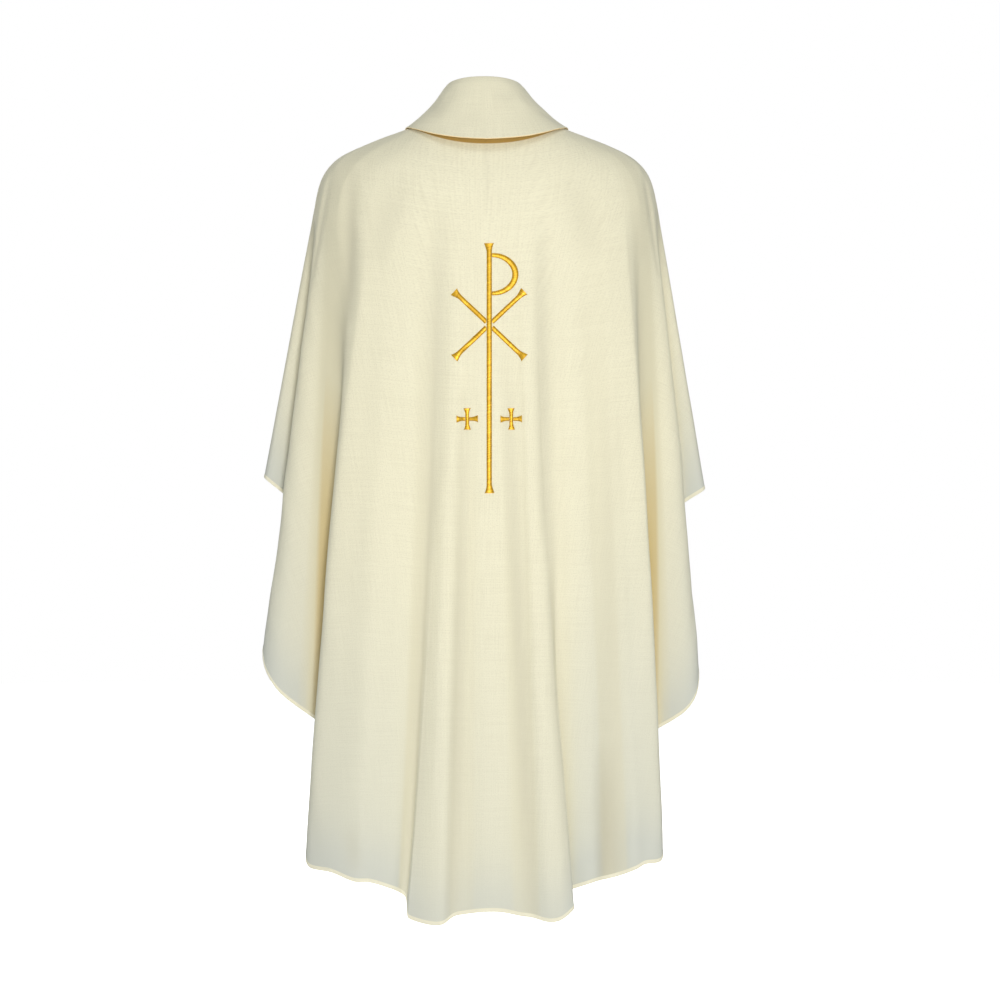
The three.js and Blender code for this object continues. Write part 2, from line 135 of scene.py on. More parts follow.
# Soft creases, seen from the back or the front. Each runs from one point, across and up, to
# another. Its rise is below 0 for a trough and above 0 for a ridge.
Crease = namedtuple("Crease", "name x0 z0 x1 z1 half_width rise")
BACK_CREASES = [
    Crease("left panel's shoulder fold", -217, -66, -219, -330, 11, -3.4),
    Crease("tension fold from the left shoulder", -128, -78, -182, -240, 26, -1.6),
    Crease("tension fold beside it", -96, -92, -142, -262, 20, 1.2),
    Crease("tension fold from the right shoulder", 132, -86, 176, -226, 24, -1.4),
    Crease("pressed centre crease", 0, -12, 4, -150, 5, -0.7),
    Crease("left lobe valley, upper", -71, -130, -90, -720, 17, -2.4),
    Crease("left lobe valley, lower", -84, -520, -121, -1220, 16, -2.2),
    Crease("left inner trough", -34, -420, -59, -1500, 11, -3.4),
    Crease("left lobe swell", -66, -560, -82, -1180, 12, 1.6),
    Crease("middle swell", 2, -420, 12, -1268, 20, 1.6),
    Crease("right inner trough", 34, -400, 80, -1500, 12, -3.4),
    Crease("right lobe swell", 78, -600, 100, -1268, 11, 1.4),
    Crease("right lobe valley, upper", 88, -150, 97, -700, 12, -3.0),
    Crease("right lobe valley, lower", 92, -540, 134, -1250, 10, -2.2),
    Crease("right panel's swell", 156, -420, 158, -1100, 24, 1.4),
    Crease("right panel's trough", 196, -420, 202, -1210, 20, -1.8),
    Crease("right panel's low trough", 192, -990, 201, -1400, 17, -5.0),
    Crease("left hem crease", -214, -1120, -206, -1204, 12, -1.6),
    Crease("right sliver's line by the shoulder", 206, -22, 258, -58, 4, -1.8),
    Crease("right sliver's line below it", 254, -50, 284, -250, 4, -2.0),
    Crease("left sliver's line", -248, -60, -290, -280, 4, -2.0),
]
FRONT_CREASES = [
    Crease("fold from the left shoulder", -106, -110, -196, -450, 30, -1.3),
    Crease("fold from the right shoulder", 112, -120, 188, -420, 28, -1.1),
    Crease("front swell left", -84, -560, -86, -1020, 20, 2.4),
    Crease("front trough", 22, -520, 26, -900, 16, -2.4),
    Crease("front swell right", 128, -600, 122, -1080, 22, 2.2),
    Crease("front hem crease", -30, -1140, -34, -1206, 9, -2.0),
]

CREASE_TAPER = 0.7  # lower values keep more of a crease's height towards its ends
FACING_START = 0.02  # how far the cloth turns to the viewer before a crease shows on it
FACING_RUN = 0.2

# Uneven bumps all over the cloth: their height, the place in the noise where they start, and the
# size of one bump around the neck and down the cloth
Ripple = namedtuple("Ripple", "height start_u start_v cell_u cell_v")
PANEL_RIPPLES = [
    Ripple(2.2, 400, 2000, 70, 330),
    Ripple(0.9, 900, 2300, 34, 210),
    Ripple(0.35, 700, 2600, 24, 60),
    Ripple(0.5, 500, 2100, 34, 60),
    Ripple(0.1, 300, 2700, 7, 30),
]
RIPPLE_START = 0.12  # the share of the way down where the broad ripples start
RIPPLE_RUN = 0.5  # and the share over which they reach their full height
NEAR_HEM = 26  # how far up from the hem the last two kinds of ripples fade
AT_HEM = 11
SEAM_CALM = 20  # how far from a seam the cloth lies smooth
SEAM_DIP = 0.9  # how deep the cloth is drawn in along a seam
SEAM_DIP_REACH = 2.2

# Collar sections, up the inside, over the roll and down the outside to the free edge
COLLAR = [
    Section("foot", 0, 73.5, 20, -65.5, 26, 81.5, -34),
    Section("inside", -1, 63, 46, -61, 54, 80, -4),
    Section("roll inside", -3, 54, 68, -56, 73, 80, 14),
    Section("roll top", -3, 58, 75, -62, 80, 86, 20),
    Section("roll outside", -3, 65, 69, -69, 74, 92, 15),
    Section("upper fall", -2, 85, 44, -87, 46, 104, -14),
    Section("lower fall", 0, 109, 22, -107, 10, 116, -46),
    Section("free edge", 1, 136, 3.2, -131, -30, 128, -84),
]
COLLAR_CREASES = [
    Crease("right fall crease", 82, 27, 130, 3, 5, -2.4),
    Crease("right fall swell", 44, 44, 112, 14, 9, 1.0),
    Crease("left fall dent", -70, 44, -92, 14, 12, -1.4),
    Crease("upper right dent", 12, 52, 52, 40, 12, -1.1),
    Crease("centre dent", -24, 40, -14, -8, 16, -0.8),
]

COLLAR_RIPPLES = [
    Ripple(0.8, 300, 300, 46, 40),
    Ripple(0.35, 900, 600, 18, 24),
]
COLLAR_EDGE_ROWS = np.array([0.2, 0.12, 0.07, 0.04, 0.02, 0.008, 0.0])  # in sections, from the edge
COLLAR_ROW_GAP = 0.02  # the least gap above them
COLLAR_ARC_RADIUS = 110  # turns angles around the collar into lengths of cloth
COLLAR_SETTLES = 2.3  # how far the free edge settles on the shoulders
COLLAR_SETTLES_REACH = 34
COLLAR_SETTLES_SIDES = 6  # higher values keep the settling closer to the sides
COLLAR_SEAM_DIP = 0.35
COLLAR_SEAM_WIDTH = 1.2  # in degrees
COLLAR_BULGE = 0.35  # how far the edge's turned cloth stands out on each side
COLLAR_BULGE_RISE = 2.0
COLLAR_BULGE_REACH = 2.2
COLLAR_ROUND = 1.6
COLLAR_TROUGH = 0.6  # how strong the painted shade in its creases is
OUTSIDE_START = 3.6  # the section where the collar's outside starts
OUTSIDE_RUN = 0.8
GLOW_START = 3.2  # the section from which its inner face, lying in shade, takes a painted warm glow
GLOW_RUN = 0.6
UNDER_EDGE = 0.8  # how far that painted glow reaches up its outside from the free edge

# Emblem, across and up from where its arms cross
CROSSING = (6, -330)
STAFF_WIDTH = 8.4
STAFF_TOP = 130
STAFF_BOTTOM = -268
ARM_WIDTH = 7.6
ARM_REACH = (56, 53)
BOWL_WIDTH = 6.4
BOWL_SWELL = 3.6
BOWL_REACH = 37
BOWL_TOP = 111
BOWL_BOTTOM = 50
CROSSLET_WIDTH = 6
CROSSLET_REACH = 17
CROSSLET_CENTRE = (35, -150)
Flare = namedtuple("Flare", "length growth")
LARGE_FLARE = Flare(15, 8)
SMALL_FLARE = Flare(10, 6)
NO_FLARE = Flare(1, 0)
SATIN_HEIGHT = 1.5
SATIN_SINK = 0.5  # how far a column's underside lies in the cloth
THREAD_PITCH = 0.5
THREAD_RELIEF = 0.1
THREAD_SLANT = 0.3  # how far a thread runs along its column for each unit across it
SLANT_FADE = 3  # how far from a column's ends its threads reach their full slant
TIE_BREAK = 0.001  # puts a point at the mitre's middle on its arm's own side
RELIEF_LIFT = 0.4  # the share of the relief by which a thread's feet are lifted too
DULLEST_THREAD = 0.15
BOWL_STEPS = 400
SATIN_ACROSS = np.array([-0.5, -0.44, -0.34, -0.2, 0, 0.2, 0.34, 0.44, 0.5])

# Fineness
COLUMNS_PER_GAP = 8
COLUMNS_PER_CREST = 5
ROWS_PER_SECTION = 6
ROWS_PER_DROP = 9
COLLAR_COLUMNS = 220
COLLAR_ROWS_PER_SECTION = 13
HEM_STEPS = [14, 11, 8.6, 7.4, 6.7, 6.0, 5.5, 5.1, 4.7, 4.0, 3.0, 1.8, 0.9, 0.35, 0]

LATTICE = 96  # cells of noise before it repeats
TINY = 1e-9  # keeps a division from being by zero
LEAST_GAP = 1e-6  # between places that are taken as apart

SEED = 7
random = np.random.default_rng(SEED)


def smooth_step(value):
    value = np.clip(value, 0, 1)
    return value * value * (3 - 2 * value)


def unit(vectors):
    return vectors / np.maximum(np.linalg.norm(vectors, axis=-1, keepdims=True), TINY)


def soft_noise(u, v, cell_u, cell_v):
    """Smooth bumps from -1 to 1, about cell_u by cell_v in size."""
    lattice = random.uniform(-1, 1, (LATTICE, LATTICE))
    iu = u / cell_u
    iv = v / cell_v
    u0 = np.floor(iu).astype(int)
    v0 = np.floor(iv).astype(int)
    fu = smooth_step(iu - u0)
    fv = smooth_step(iv - v0)

    def at(du, dv):
        return lattice[(u0 + du) % LATTICE, (v0 + dv) % LATTICE]

    low = at(0, 0) * (1 - fu) + at(1, 0) * fu
    high = at(0, 1) * (1 - fu) + at(1, 1) * fu
    return low * (1 - fv) + high * fv


def section_points(section, degrees):
    """Points of an oval section. The angle runs from the centre back round the right side."""
    across = np.sin(np.radians(degrees))
    along = np.cos(np.radians(degrees))
    depth = np.where(along > 0, section.back_y, section.front_y)
    middle_z = np.where(along > 0, section.back_z, section.front_z)
    x = section.lean + section.side_x * np.sign(across) * np.abs(across) ** (2 / BOXINESS)
    y = depth * np.abs(along) ** (2 / BOXINESS)
    z = section.side_z * across**2 + middle_z * along**2
    return np.stack([x, y, z], axis=-1)


def spline(points, where, closed):
    """Centripetal curves along the first axis of points, at the places in where, for each curve."""
    count = len(points)
    if closed:
        first = np.floor(where).astype(int)
        picks = [(first + step) % count for step in (-1, 0, 1, 2)]
        source = points
    else:
        first = np.clip(np.floor(where).astype(int), 0, count - 2)
        picks = [first + step for step in (0, 1, 2, 3)]
        before = 2 * points[:1] - points[1:2]
        after = 2 * points[-1:] - points[-2:-1]
        source = np.concatenate([before, points, after])
    p = [np.take_along_axis(source, pick[..., None], axis=0) for pick in picks]
    gaps = [
        np.maximum(np.linalg.norm(b - a, axis=-1, keepdims=True), LEAST_GAP) ** 0.5
        for a, b in zip(p, p[1:])
    ]
    start = (p[1] - p[0]) / gaps[0] - (p[2] - p[0]) / (gaps[0] + gaps[1]) + (p[2] - p[1]) / gaps[1]
    end = (p[2] - p[1]) / gaps[1] - (p[3] - p[1]) / (gaps[1] + gaps[2]) + (p[3] - p[2]) / gaps[2]
    start = start * gaps[1]
    end = end * gaps[1]
    t = (where - first)[..., None]
    cubic = 2 * p[1] - 2 * p[2] + start + end
    square = -3 * p[1] + 3 * p[2] - 2 * start - end
    return p[1] + t * (start + t * (square + t * cubic))


def crest_lines():
    """Angles, bows and hem points of two lines for each fold, on either side of its crest."""
    angles = []
    bows = []
    hems = []
    for index, fold in enumerate(FOLDS):
        previous = FOLDS[index - 1]
        following = FOLDS[(index + 1) % len(FOLDS)]
        chord = np.hypot(following.x - previous.x, following.y - previous.y)
        path = np.hypot(fold.x - previous.x, fold.y - previous.y)
        path += np.hypot(following.x - fold.x, following.y - fold.y)
        turn = np.degrees(CREST_TAPER * fold.breadth / 2 / RELEASE.side_x)
        for side in (-1, 1):
            step = side * fold.breadth / 2
            angles.append(fold.angle + side * turn)
            bows.append(fold.bow)
            hems.append([
                fold.x + step * (following.x - previous.x) / chord,
                fold.y + step * (following.y - previous.y) / chord,
                fold.z + step * (following.z - previous.z) / path,
            ])
    return np.array(angles), np.array(bows), np.array(hems)


def cloth_controls():
    """The cloth's control points, in rows from the neckline to the hem. A bow moves a crest's
    line sideways, by its full size halfway down."""
    angles, bows, hems = crest_lines()
    rows = [section_points(section, angles) for section in SHOULDERS]
    release = rows[-1]
    for drop in DROPS:
        row = release * (1 - drop) + hems * drop
        row[:, 0] += bows * 4 * drop * (1 - drop)
        rows.append(row)
    return np.array(rows)


def column_places(first_line, last_line):
    """Where the fine columns stand, in lines. A seam runs down the middle of a crest."""
    places = []
    line = first_line
    while line < last_line - LEAST_GAP:
        following = min(np.floor(line) + 1, last_line)
        on_crest = int(np.floor(line)) % 2 == 0
        count = COLUMNS_PER_CREST if on_crest else COLUMNS_PER_GAP
        count = max(2, round(count * (following - line)))
        places.extend(line + (following - line) * np.arange(count) / count)
        line = following
    places.append(last_line)
    return np.array(places)


def panel_grid(first_line, last_line):
    """The cloth's middle surface: a grid of points with rows from the neckline to the hem."""
    controls = cloth_controls()
    count = len(controls) - 1
    last_stretch = np.linalg.norm(controls[-1] - controls[-2], axis=-1)
    shoulder_rows = np.linspace(0, len(SHOULDERS) - 1, (len(SHOULDERS) - 1) * ROWS_PER_SECTION + 1)
    hang_rows = np.linspace(0, 1, len(DROPS) * ROWS_PER_DROP + 1)[1:]
    hem_start = count - HEM_STEPS[0] / last_stretch
    rows = [np.full(len(last_stretch), place) for place in shoulder_rows]
    begin = len(SHOULDERS) - 1
    rows += [begin + (hem_start - begin) * share for share in hang_rows]
    rows += [count - step / last_stretch for step in HEM_STEPS[1:]]
    lines = spline(controls, np.array(rows), False)
    places = column_places(first_line, last_line)
    around = np.tile(places[:, None], (1, len(lines)))
    grid = spline(np.swapaxes(lines, 0, 1), around, True)
    return np.swapaxes(grid, 0, 1)


def grid_normals(grid, closed):
    """Unit normals of a grid of points, pointing away from the garment's hollow."""
    down = np.gradient(grid, axis=0)
    if closed:
        across = np.roll(grid, -1, axis=1) - np.roll(grid, 1, axis=1)
    else:
        across = np.gradient(grid, axis=1)
    return unit(np.cross(down, across))


def path_lengths(grid, axis):
    steps = np.linalg.norm(np.diff(grid, axis=axis), axis=-1)
    start = np.zeros_like(np.take(steps, [0], axis=axis))
    return np.concatenate([start, np.cumsum(steps, axis=axis)], axis=axis)


NECK_RADIUS = 80
GRAIN_DROP = 0.62  # the share of the way down at which the cut's angles are taken


def flat_cut(grid):
    """The cloth laid flat, as its maker cut it: across and down from the neck's centre."""
    radius = NECK_RADIUS + path_lengths(grid, 0)
    row = int(GRAIN_DROP * len(grid))
    steps = np.linalg.norm(np.diff(grid[row], axis=0), axis=-1)
    middle_radius = (radius[row, 1:] + radius[row, :-1]) / 2
    angle = np.concatenate([[0], np.cumsum(steps / middle_radius)])
    angle -= angle[-1] / 2
    return radius * np.sin(angle), radius * np.cos(angle), angle


def crease_rise(grid, creases, toward):
    """How far the creases lift each point. toward is -1 for the back and 1 for the front."""
    normals = grid_normals(grid, False)
    facing = smooth_step((toward * normals[..., 1] - FACING_START) / FACING_RUN)
    rise = np.zeros(grid.shape[:2])
    for crease in creases:
        start = np.array([crease.x0, crease.z0])
        run = np.array([crease.x1, crease.z1]) - start
        offset = grid[..., [0, 2]] - start
        along = offset @ run / (run @ run)
        nearest = np.clip(along, 0, 1)[..., None] * run
        distance = np.linalg.norm(offset - nearest, axis=-1)
        ends = np.sin(np.pi * np.clip(along, 0, 1)) ** CREASE_TAPER
        rise += crease.rise * np.exp(-((distance / crease.half_width) ** 2)) * ends
    return rise * facing


# Painted shade: the cloth is coloured darker and greyer towards the hem and the sides
LOW_SHADE_START = 0.45  # the share of the way down where painted shade starts to make the cloth darker and greyer
LOW_SHADE_PLACES = [-240, -120, -90, 120, 150, 230, 290]  # across the cloth
LOW_SHADE_WEIGHTS = [1.1, 1.0, 0.75, 0.75, 1.3, 1.4, 1.1]  # how strong that painted shade is there
HEM_SHADE = 0.9  # how much more painted shade lies beside the hem
HEM_SHADE_REACH = 75
SOFT_DEPTH = 0.6  # the painted fold shade up to which it is softly grey, before it turns warm
SHADE_RUN = 0.85  # the share of the way down over which folds reach their full painted shade
SHADE_NARROWS = 0.36  # how much nearer a fold's middle its painted shade ends by the hem
SHADE_EDGE = 0.5
INSIDE_DEPTH = 0.5  # the painted shade on the cloth's inner face
INSIDE_GAIN = 0.7  # how much of the outer face's openness is given painted shade on the inner one
INSIDE_HEM = 0.5  # how much lighter the hem is there, with less painted shade
UNDER_COLLAR = 0.0062  # how far below the collar's free edge its shade reaches, in metres
UNDER_COLLAR_THINS = 1.35  # how fast that shade thins towards the collar's sides
UNDER_COLLAR_EDGE = 900.0  # how sharply it ends, for each metre


def fold_shade(places, share):
    """Painted shade in the folds, from 0 on open cloth to 1 in the deepest ones, narrower towards the
    hem.
    """
    shades = np.repeat([fold.shade for fold in FOLDS], 2)
    first = np.floor(places).astype(int)
    before = shades[first % len(shades)]
    after = shades[(first + 1) % len(shades)]
    blend = smooth_step(places - first)
    nearness = (before > 0) * (1 - blend) + (after > 0) * blend
    inside = smooth_step((nearness[None, :] - SHADE_NARROWS * share) / SHADE_EDGE)
    return np.maximum(before, after)[None, :] * inside * smooth_step(share / SHADE_RUN)


def grid_faces(index):
    """Faces with four corners each between neighbours along an index's last two axes."""
    corners = [index[..., :-1, :-1], index[..., 1:, :-1], index[..., 1:, 1:], index[..., :-1, 1:]]
    return np.stack(corners, axis=-1).reshape(-1, 4)


def wall_faces(rows, columns, closed):
    """Faces of a wall whose outer grid is followed by an inner one of the same size."""
    index = np.arange(rows * columns).reshape(rows, columns)
    if closed:
        index = np.concatenate([index, index[:, :1]], axis=1)
    inner = index + rows * columns

    def quads(a, b, c, d):
        return np.stack([a.ravel(), b.ravel(), c.ravel(), d.ravel()], axis=1)

    faces = [
        grid_faces(index),
        grid_faces(inner)[:, [0, 3, 2, 1]],
        quads(index[0, :-1], index[0, 1:], inner[0, 1:], inner[0, :-1]),
        quads(index[-1, :-1], inner[-1, :-1], inner[-1, 1:], index[-1, 1:]),
    ]
    if not closed:
        faces += [
            quads(index[:-1, 0], inner[:-1, 0], inner[1:, 0], index[1:, 0]),
            quads(index[:-1, -1], index[1:, -1], inner[1:, -1], inner[:-1, -1]),
        ]
    return np.concatenate(faces)


def make_piece(name, points, faces, material, uv=None, values=None):
    """A mesh object from points in millimetres and faces with four corners each."""
    mesh = bpy.data.meshes.new(name)
    mesh.vertices.add(len(points))
    mesh.vertices.foreach_set("co", (points * METRES).astype(np.float32).ravel())
    mesh.loops.add(faces.size)
    mesh.loops.foreach_set("vertex_index", faces.astype(np.int32).ravel())
    mesh.polygons.add(len(faces))
    mesh.polygons.foreach_set("loop_start", np.arange(0, faces.size, 4, dtype=np.int32))
    mesh.polygons.foreach_set("use_smooth", np.ones(len(faces), dtype=bool))
    if uv is not None:
        layer = mesh.uv_layers.new(name="grain")
        layer.data.foreach_set("uv", (uv[faces.ravel()] * METRES).astype(np.float32).ravel())
    for key, value in (values or {}).items():
        attribute = mesh.attributes.new(key, "FLOAT", "POINT")
        attribute.data.foreach_set("value", value.astype(np.float32))
    mesh.update(calc_edges=True)
    mesh.validate()
    mesh.materials.append(material)
    piece = bpy.data.objects.new(name, mesh)
    bpy.context.collection.objects.link(piece)
    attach(piece, "root")
    return piece


class Graph:
    """A material's node tree, with short ways to add and join its nodes."""

    def __init__(self, name):
        self.material = bpy.data.materials.new(name)
        self.material.use_nodes = True
        self.nodes = self.material.node_tree.nodes
        self.links = self.material.node_tree.links
        self.shader = self.nodes["Principled BSDF"]

    def put(self, socket, value):
        if isinstance(value, bpy.types.NodeSocket):
            self.links.new(value, socket)
        else:
            socket.default_value = value

    def add(self, kind, inputs=None, **settings):
        node = self.nodes.new(kind)
        for key, value in settings.items():
            setattr(node, key, value)
        for key, value in (inputs or {}).items():
            self.put(node.inputs[key], value)
        return node

    def math(self, operation, a, b=0.0, clamp=False):
        node = self.add("ShaderNodeMath", {0: a, 1: b}, operation=operation, use_clamp=clamp)
        return node.outputs[0]

    def mix(self, share, a, b):
        """A mix of two colours, whose sockets come after the node's plain and vector ones."""
        node = self.add("ShaderNodeMix", data_type="RGBA")
        self.put(node.inputs[0], share)
        self.put(node.inputs[6], a)
        self.put(node.inputs[7], b)
        return node.outputs[2]

    def value(self, name):
        return self.add("ShaderNodeAttribute", attribute_name=name).outputs["Fac"]

    def noise(self, vector, scale):
        node = self.add("ShaderNodeTexNoise", {"Vector": vector, "Scale": scale, "Detail": 2.0})
        return node.outputs["Fac"]

    def stretched(self, vector, x, y):
        node = self.add("ShaderNodeMapping", {"Vector": vector, "Scale": (x, y, 1.0)})
        return node.outputs["Vector"]

    def ramp(self, value, start, gain):
        """0 up to the start, then rising by the gain, up to 1."""
        return self.math("MULTIPLY", self.math("SUBTRACT", value, start), gain, clamp=True)

    def set(self, **inputs):
        for key, value in inputs.items():
            self.put(self.shader.inputs[key.replace("_", " ")], value)


CREAM = (0.92, 0.88, 0.685, 1)
SLUB_CREAM = (0.83, 0.785, 0.60, 1)
FLECK_CREAM = (0.74, 0.70, 0.54, 1)
# the grey of the painted shade towards the hem and the sides
LOW_SHADE_GREY = (0.66, 0.675, 0.62, 1)
# painted shade in the folds: softly grey, then warm in the deepest
SOFT_SHADE = (0.76, 0.715, 0.53, 1)
WARM_SHADE = (0.65, 0.51, 0.235, 1)
# painted shade in the creases' troughs
DIP_SHADE = (0.59, 0.56, 0.435, 1)
DIP_STRENGTH = 0.14  # how much of that painted shade a crease has for each millimetre of its depth
COLLAR_SHADE = (0.52, 0.34, 0.10, 1)
# a painted warm glow for the collar's free edge and inner face, which lie in shade
PAINTED_GLOW_GOLD = (0.98, 0.76, 0.40, 1)
HEM_CREAM = (0.89, 0.855, 0.70, 1)
STITCH_CREAM = (0.86, 0.82, 0.66, 1)
PALE_STITCH_CREAM = (0.93, 0.90, 0.76, 1)
DARK_GOLD = (0.38, 0.185, 0.007, 1)
BRIGHT_GOLD = (0.76, 0.455, 0.03, 1)
# how strongly the painted shade towards the hem and sides greys the cloth
LOW_SHADE_STRENGTH = 0.5
SHADE_STRENGTH = 1.8
WARM_STRENGTH = 2.5
WEAVE_PITCH = 0.00075  # metres between neighbouring threads
SLUBS_ACROSS = 760  # slubs, flecks and clouds for each metre
SLUBS_ALONG = 14
FLECKS = 520
CLOUDS = 9
SLUB_RAMP = (0.42, 3.2)  # where in the noise they start to show, and how fast they then do
CLOUD_RAMP = (0.5, 0.35)
FLECK_RAMP = (0.5, 2.6)
WEAVE_RELIEF = 0.35  # heights as shares of the bump's distance
SLUB_RELIEF = 2.4
SPUN_SCALE = 2400.0


def under_collar(g):
    """1 where the back lies in the shade of the collar's free edge, and 0 elsewhere."""
    edge = COLLAR[-1]
    place = g.add("ShaderNodeTexCoord").outputs["Object"]
    parts = g.add("ShaderNodeSeparateXYZ", {"Vector": place}).outputs
    off_centre = g.math("ABSOLUTE", g.math("SUBTRACT", parts["X"], edge.lean * METRES))
    off_centre = g.math("DIVIDE", off_centre, edge.side_x * METRES)
    climb = g.math("POWER", off_centre, BOXINESS)
    edge_z = g.math("MULTIPLY", climb, (edge.side_z - edge.back_z) * METRES)
    above = g.math("SUBTRACT", g.math("SUBTRACT", parts["Z"], edge.back_z * METRES), edge_z)
    thins = g.math("MULTIPLY", g.math("POWER", off_centre, 2.0), UNDER_COLLAR_THINS)
    reach = g.math("MULTIPLY", g.math("SUBTRACT", 1.0, thins, clamp=True), UNDER_COLLAR)
    inside = g.math("MULTIPLY", g.math("ADD", above, reach), UNDER_COLLAR_EDGE, clamp=True)
    return g.math("MULTIPLY", inside, g.math("LESS_THAN", parts["Y"], 0.0))


def cloth_material():
    """Plain-weave cream cloth: crossing threads with slubs, with painted shade in its folds (warm in
    the deepest), in its creases, towards the hem and sides and under the collar's free edge, and a
    painted warm glow on the collar's shaded faces.
    """
    g = Graph("cream_cloth")
    grain = g.add("ShaderNodeUVMap", uv_map="grain").outputs["UV"]
    warp_slubs = g.noise(g.stretched(grain, SLUBS_ACROSS, SLUBS_ALONG), 1.0)
    weft_slubs = g.noise(g.stretched(grain, SLUBS_ALONG, SLUBS_ACROSS), 1.0)
    slubs = g.math("MULTIPLY", g.math("ADD", warp_slubs, weft_slubs), 0.5)
    flecks = g.noise(g.stretched(grain, FLECKS, FLECKS), 1.0)
    cloudy = g.noise(g.stretched(grain, CLOUDS, CLOUDS), 1.0)
    parts = g.add("ShaderNodeSeparateXYZ", {"Vector": grain})
    turns = np.pi / WEAVE_PITCH
    warp = g.math("SINE", g.math("MULTIPLY", parts.outputs["X"], turns))
    weft = g.math("SINE", g.math("MULTIPLY", parts.outputs["Y"], turns))
    weave = g.math("MULTIPLY", warp, weft)
    colour = g.mix(g.ramp(slubs, *SLUB_RAMP), CREAM, SLUB_CREAM)
    colour = g.mix(g.ramp(cloudy, *CLOUD_RAMP), colour, SLUB_CREAM)
    colour = g.mix(g.ramp(flecks, *FLECK_RAMP), colour, FLECK_CREAM)
    # painted shade: darker and greyer towards the hem and the sides
    colour = g.mix(g.math("MULTIPLY", g.value("painted_low_shade"), LOW_SHADE_STRENGTH), colour, LOW_SHADE_GREY)
    # painted shade in the folds, warm in the deepest
    depth = g.value("depth")
    colour = g.mix(g.math("MULTIPLY", depth, SHADE_STRENGTH, clamp=True), colour, SOFT_SHADE)
    colour = g.mix(g.ramp(depth, SOFT_DEPTH, WARM_STRENGTH), colour, WARM_SHADE)
    # painted shade in the creases' troughs
    dip = g.math("MULTIPLY", g.value("painted_crease_shade"), DIP_STRENGTH, clamp=True)
    colour = g.mix(dip, colour, DIP_SHADE)
    colour = g.mix(g.value("hem"), colour, HEM_CREAM)
    colour = g.mix(g.math("MULTIPLY", under_collar(g), g.value("panel")), colour, COLLAR_SHADE)
    # painted warm glow on the collar's free edge and inner face, in their shade
    colour = g.mix(g.value("painted_collar_glow"), colour, PAINTED_GLOW_GOLD)
    weave_height = g.math("MULTIPLY", weave, WEAVE_RELIEF)
    height = g.math("ADD", weave_height, g.math("MULTIPLY", slubs, SLUB_RELIEF))
    bump = g.add("ShaderNodeBump", {"Height": height, "Strength": 0.5, "Distance": 0.00022})
    g.set(
        Base_Color=colour,
        Roughness=0.86,
        Specular_IOR_Level=0.25,
        Sheen_Weight=0.18,
        Sheen_Roughness=0.45,
        Normal=bump.outputs["Normal"],
    )
    return g.material


def gold_material():
    """Gold embroidery thread, brighter and darker from stitch to stitch."""
    g = Graph("gold_satin_thread")
    g.set(
        Base_Color=g.mix(g.value("thread"), DARK_GOLD, BRIGHT_GOLD),
        Metallic=0.45,
        Roughness=0.4,
        Specular_IOR_Level=0.3,
    )
    return g.material


def stitch_material():
    g = Graph("cream_sewing_thread")
    place = g.add("ShaderNodeTexCoord").outputs["Object"]
    spun = g.noise(place, SPUN_SCALE)
    g.set(Base_Color=g.mix(spun, STITCH_CREAM, PALE_STITCH_CREAM), Roughness=0.6)
    return g.material


def hem_profile(from_hem):
    """How far the cloth's sides stand out near the hem, and a 0 to 1 mask of the turned band."""
    band = smooth_step((HEM_DEPTH + HEM_SLOPE / 2 - from_hem) / HEM_SLOPE)
    dimple = np.exp(-(((from_hem - STITCH_RISE) / DIMPLE_REACH) ** 2))
    edge = np.sqrt(np.clip(1 - (1 - np.clip(from_hem / HEM_ROUND, 0, 1)) ** 2, 0, 1))
    half = (CLOTH / 2 + HEM_BULGE * band - DIMPLE_DEPTH * dimple) * np.maximum(edge, THIN_EDGE)
    return half, band


def ripple_rise(ripple, u, v):
    noise = soft_noise(u + ripple.start_u, v + ripple.start_v, ripple.cell_u, ripple.cell_v)
    return ripple.height * noise


Panel = namedtuple("Panel", "piece normals outer from_hem")


